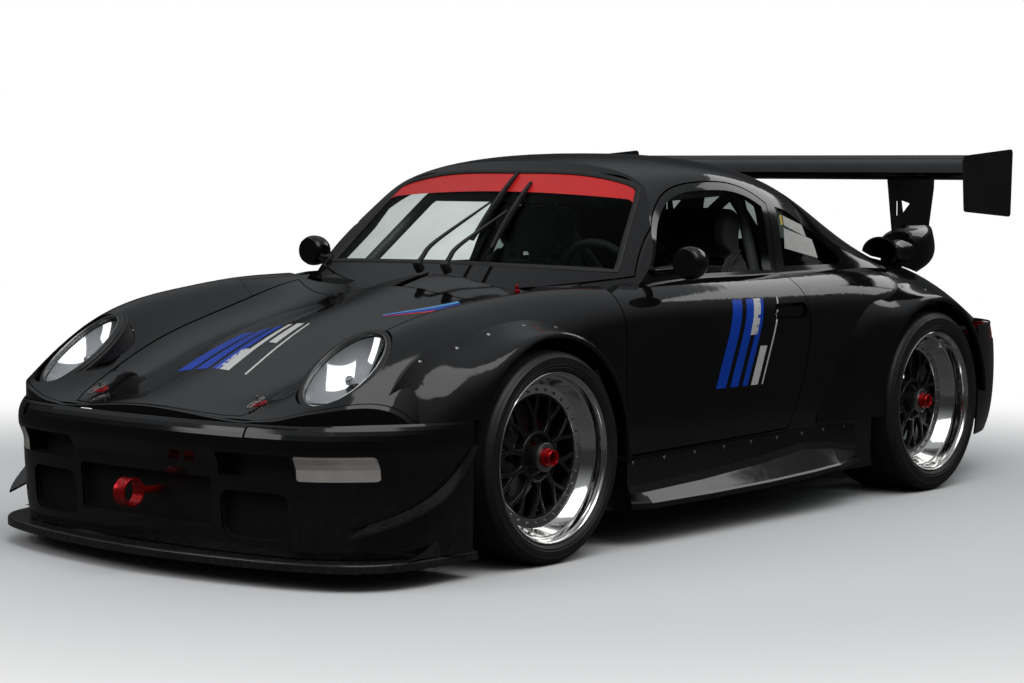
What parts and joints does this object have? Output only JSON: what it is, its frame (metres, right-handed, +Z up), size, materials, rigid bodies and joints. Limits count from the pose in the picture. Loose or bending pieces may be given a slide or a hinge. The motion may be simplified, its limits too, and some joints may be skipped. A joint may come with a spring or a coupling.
{
  "type": "race car",
  "caption": "Wide-bodied rear-engined race coupe with a tall rear wing, roll cage, opening doors, bonnet and engine lid, steering and rolling wheels.",
  "frame": {"origin": "on the ground under the middle of the whole car's box", "axes": "+X forward, +Y to the car's left, +Z up"},
  "size_m": [4.3225, 1.812, 1.2837],
  "materials": {
    "body_paint": "gloss black lacquer over composite and steel panels",
    "satin_black": "satin black moulding",
    "black_composite": "black moulded composite",
    "clear_glass": "clear laminated glass",
    "tinted_glass": "lightly tinted glass",
    "lamp_lens": "clear lens",
    "lamp_bowl": "bright reflector",
    "red_lens": "red lens",
    "indicator_lens": "clear lens with amber bulb",
    "red_anodised": "red anodised",
    "grille_mesh": "black mesh",
    "cage_steel": "grey painted tube",
    "seat_shell": "black seat cloth over a moulded shell",
    "interior_trim": "dark grey trim",
    "steel_parts": "bare and zinc-coated steel",
    "rim_lip": "polished stepped lip with black centre",
    "tyre_rubber": "slick-shouldered rubber",
    "floor_coat": "dark underbody coat",
    "cast_block": "machined and cast casings",
    "mirror_shell": "gloss black shell"
  },
  "bodies": {
    "chassis": {"floor_pan": "floor_coat", "body_shell": "body_paint", "front_fenders": "body_paint", "front_bumper": "body_paint", "front_splitter": "black_composite", "canards": "black_composite", "front_flares": "body_paint", "rear_flares": "body_paint", "side_skirts": "body_paint", "rear_bumper": "body_paint", "windscreen": "clear_glass", "rear_window": "tinted_glass", "quarter_windows": "tinted_glass", "headlamps": "lamp_bowl", "lamp_lenses": "lamp_lens", "indicator_lamps": "indicator_lens", "tail_lamps": "red_lens", "wiper": "satin_black", "tow_hoop": "red_anodised", "front_grille": "grille_mesh", "roll_cage": "cage_steel", "seats": "seat_shell", "dashboard": "interior_trim", "steering_column": "steel_parts", "engine_block": "cast_block", "exhausts": "steel_parts", "suspension": "steel_parts"},
    "bonnet": {"bonnet": "body_paint"},
    "engine_lid": {"engine_lid": "body_paint", "wing_supports": "black_composite", "rear_wing": "black_composite", "wing_end_plates": "black_composite"},
    "door_left": {"door_left": "body_paint", "mirror_left": "mirror_shell"},
    "door_right": {"door_right": "body_paint", "mirror_right": "mirror_shell"},
    "steering_wheel": {"steering_wheel": "interior_trim"},
    "knuckle_left": {"front_knuckle_left": "steel_parts"},
    "knuckle_right": {"front_knuckle_right": "steel_parts"},
    "wheel_front_left": {"tyre_front_left": "tyre_rubber", "rim_front_left": "rim_lip"},
    "wheel_front_right": {"tyre_front_right": "tyre_rubber", "rim_front_right": "rim_lip"},
    "wheel_rear_left": {"tyre_rear_left": "tyre_rubber", "rim_rear_left": "rim_lip"},
    "wheel_rear_right": {"tyre_rear_right": "tyre_rubber", "rim_rear_right": "rim_lip"}
  },
  "joints": [
    {"name": "bonnet_hinge", "type": "hinge", "parent": "chassis", "child": "bonnet", "pos_m": [0.739, 0, 0.8], "axis": [0, -1, 0], "range_deg": [0, 60]},
    {"name": "engine_lid_hinge", "type": "hinge", "parent": "chassis", "child": "engine_lid", "pos_m": [-1.121, 0, 0.8], "axis": [0, 1, 0], "range_deg": [0, 40]},
    {"name": "door_left_hinge", "type": "hinge", "parent": "chassis", "child": "door_left", "pos_m": [0.707, 0.814, 0.55], "axis": [0, 0, -1], "range_deg": [0, 65]},
    {"name": "door_right_hinge", "type": "hinge", "parent": "chassis", "child": "door_right", "pos_m": [0.707, -0.814, 0.55], "axis": [0, 0, 1], "range_deg": [0, 65]},
    {"name": "steer_left", "type": "hinge", "parent": "chassis", "child": "knuckle_left", "pos_m": [1.159, 0.7, 0.325], "axis": [0, 0, 1], "range_deg": [-27, 27]},
    {"name": "steer_right", "type": "hinge", "parent": "chassis", "child": "knuckle_right", "pos_m": [1.159, -0.7, 0.325], "axis": [0, 0, 1], "range_deg": [-27, 27]},
    {"name": "steering_wheel_turn", "type": "hinge", "parent": "chassis", "child": "steering_wheel", "pos_m": [0.254, 0.37, 0.8], "axis": [-0.9135, 0, 0.4067], "range_deg": [-446, 446]},
    {"name": "wheel_front_left_spin", "type": "hinge", "parent": "knuckle_left", "child": "wheel_front_left", "pos_m": [1.159, 0.759, 0.325], "axis": [0, 1, 0], "continuous": true},
    {"name": "wheel_front_right_spin", "type": "hinge", "parent": "knuckle_right", "child": "wheel_front_right", "pos_m": [1.159, -0.759, 0.325], "axis": [0, 1, 0], "continuous": true},
    {"name": "wheel_rear_left_spin", "type": "hinge", "parent": "chassis", "child": "wheel_rear_left", "pos_m": [-1.113, 0.7545, 0.337], "axis": [0, 1, 0], "continuous": true},
    {"name": "wheel_rear_right_spin", "type": "hinge", "parent": "chassis", "child": "wheel_rear_right", "pos_m": [-1.113, -0.7545, 0.337], "axis": [0, 1, 0], "continuous": true}
  ],
  "couplings": [
    {"joint": "steer_right", "follows": "steer_left", "ratio": 1},
    {"joint": "steering_wheel_turn", "follows": "steer_left", "ratio": 16.5}
  ]
}
